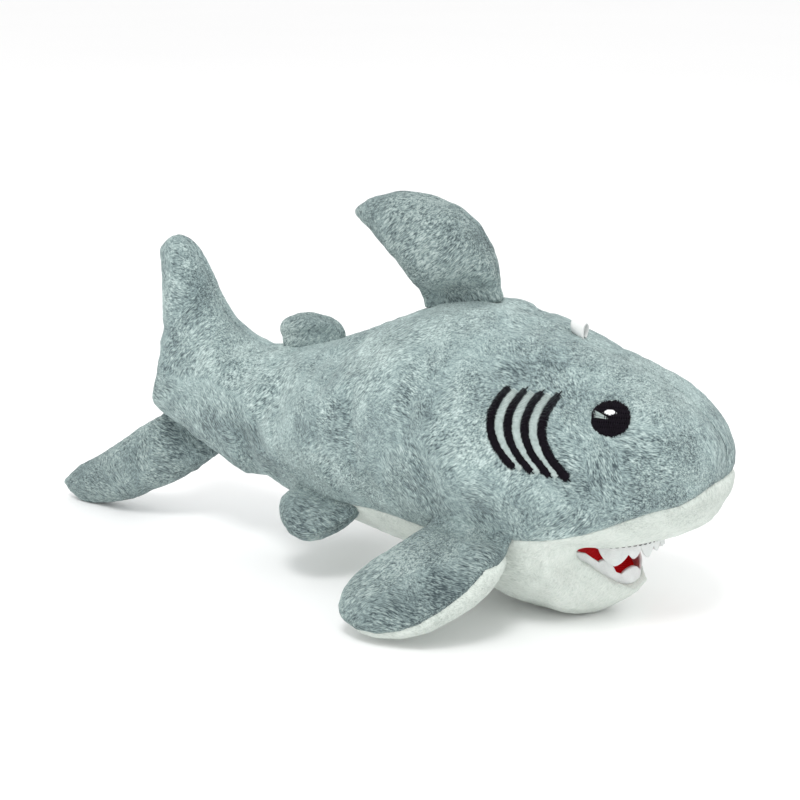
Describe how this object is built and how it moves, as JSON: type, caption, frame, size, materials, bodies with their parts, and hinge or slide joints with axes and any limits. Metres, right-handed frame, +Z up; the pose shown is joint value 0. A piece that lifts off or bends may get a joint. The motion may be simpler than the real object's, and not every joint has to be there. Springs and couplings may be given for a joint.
{
  "type": "plush shark",
  "caption": "Stuffed plush shark with a padded body, sewn fins and tail, an open toothed mouth and embroidered eyes and gills.",
  "frame": {"origin": "middle of the flat patch under the chest that the toy lies on", "axes": "+X towards the nose, +Y to the shark's left, +Z up"},
  "size_m": [0.2803, 0.1368, 0.1388],
  "materials": {
    "grey_plush": "matte",
    "white_plush": "matte",
    "polyester_fill": "matte",
    "red_cloth": "matte",
    "white_felt": "matte",
    "black_thread": "satin",
    "grey_thread": "satin",
    "white_thread": "satin",
    "white_tape": "matte"
  },
  "bodies": {
    "shark_body": {"belly_panel": "white_plush", "body_stuffing": "polyester_fill", "eye_glint_left": "grey_thread", "eye_glint_right": "grey_thread", "eye_highlight_left": "white_thread", "eye_highlight_right": "white_thread", "eye_left": "black_thread", "eye_right": "black_thread", "gill_fill_left_1": "grey_thread", "gill_fill_left_2": "grey_thread", "gill_fill_left_3": "grey_thread", "gill_fill_right_1": "grey_thread", "gill_fill_right_2": "grey_thread", "gill_fill_right_3": "grey_thread", "gill_slit_left_1": "black_thread", "gill_slit_left_2": "black_thread", "gill_slit_left_3": "black_thread", "gill_slit_left_4": "black_thread", "gill_slit_right_1": "black_thread", "gill_slit_right_2": "black_thread", "gill_slit_right_3": "black_thread", "gill_slit_right_4": "black_thread", "hang_loop": "white_tape", "jaw_stuffing": "polyester_fill", "lower_teeth": "white_felt", "mouth_floor_lining": "red_cloth", "mouth_roof_lining": "red_cloth", "side_panel_left": "grey_plush", "side_panel_right": "grey_plush", "snout_panel": "white_plush", "snout_stuffing": "polyester_fill", "upper_teeth": "white_felt"},
    "tail": {"tail_panel_left": "grey_plush", "tail_panel_right": "grey_plush", "tail_stuffing": "polyester_fill"},
    "lower_tail_lobe": {"lower_tail_lobe_left": "grey_plush", "lower_tail_lobe_right": "grey_plush", "lower_tail_lobe_stuffing": "polyester_fill"},
    "dorsal_fin": {"dorsal_fin_left": "grey_plush", "dorsal_fin_right": "grey_plush", "dorsal_fin_stuffing": "polyester_fill"},
    "second_dorsal_fin": {"second_dorsal_fin_left": "grey_plush", "second_dorsal_fin_right": "grey_plush", "second_dorsal_fin_stuffing": "polyester_fill"},
    "pectoral_fin_right": {"pectoral_fin_stuffing_right": "polyester_fill", "pectoral_fin_top_right": "grey_plush", "pectoral_fin_underside_right": "white_plush"},
    "pectoral_fin_left": {"pectoral_fin_stuffing_left": "polyester_fill", "pectoral_fin_top_left": "grey_plush", "pectoral_fin_underside_left": "white_plush"},
    "pelvic_fin_right": {"pelvic_fin_stuffing_right": "polyester_fill", "pelvic_fin_top_right": "grey_plush", "pelvic_fin_underside_right": "grey_plush"},
    "pelvic_fin_left": {"pelvic_fin_stuffing_left": "polyester_fill", "pelvic_fin_top_left": "grey_plush", "pelvic_fin_underside_left": "grey_plush"}
  },
  "joints": [
    {"name": "tail_sway", "type": "hinge", "parent": "shark_body", "child": "tail", "pos_m": [-0.127, 0, 0.052], "axis": [0, 0, 1], "range_deg": [-18, 18], "stiffness_Nm_per_rad": 0.08},
    {"name": "lower_tail_lobe_flex", "type": "hinge", "parent": "tail", "child": "lower_tail_lobe", "pos_m": [-0.1625, 0, 0.03675], "axis": [0.9075, 0, -0.4201], "range_deg": [-25, 25], "stiffness_Nm_per_rad": 0.04},
    {"name": "dorsal_fin_flex", "type": "hinge", "parent": "shark_body", "child": "dorsal_fin", "pos_m": [-0.045, 0, 0.1064], "axis": [0.9829, 0, 0.1839], "range_deg": [-25, 25], "stiffness_Nm_per_rad": 0.04},
    {"name": "second_dorsal_fin_flex", "type": "hinge", "parent": "shark_body", "child": "second_dorsal_fin", "pos_m": [-0.1045, 0, 0.0835], "axis": [0.9775, 0, 0.2111], "range_deg": [-25, 25], "stiffness_Nm_per_rad": 0.02},
    {"name": "pectoral_fin_right_lift", "type": "hinge", "parent": "shark_body", "child": "pectoral_fin_right", "pos_m": [-0.00484, -0.04017, 0.0331], "axis": [-0.9967, 0.0559, 0.0585], "range_deg": [0, 45], "stiffness_Nm_per_rad": 0.04},
    {"name": "pectoral_fin_left_lift", "type": "hinge", "parent": "shark_body", "child": "pectoral_fin_left", "pos_m": [-0.00484, 0.04017, 0.0331], "axis": [0.9967, 0.0559, -0.0585], "range_deg": [0, 45], "stiffness_Nm_per_rad": 0.04},
    {"name": "pelvic_fin_right_flex", "type": "hinge", "parent": "shark_body", "child": "pelvic_fin_right", "pos_m": [-0.07237, -0.02491, 0.02634], "axis": [-0.9781, 0.1694, 0.1209], "range_deg": [-20, 35], "stiffness_Nm_per_rad": 0.02},
    {"name": "pelvic_fin_left_flex", "type": "hinge", "parent": "shark_body", "child": "pelvic_fin_left", "pos_m": [-0.07237, 0.02491, 0.02634], "axis": [0.9781, 0.1694, -0.1209], "range_deg": [-20, 35], "stiffness_Nm_per_rad": 0.02}
  ]
}
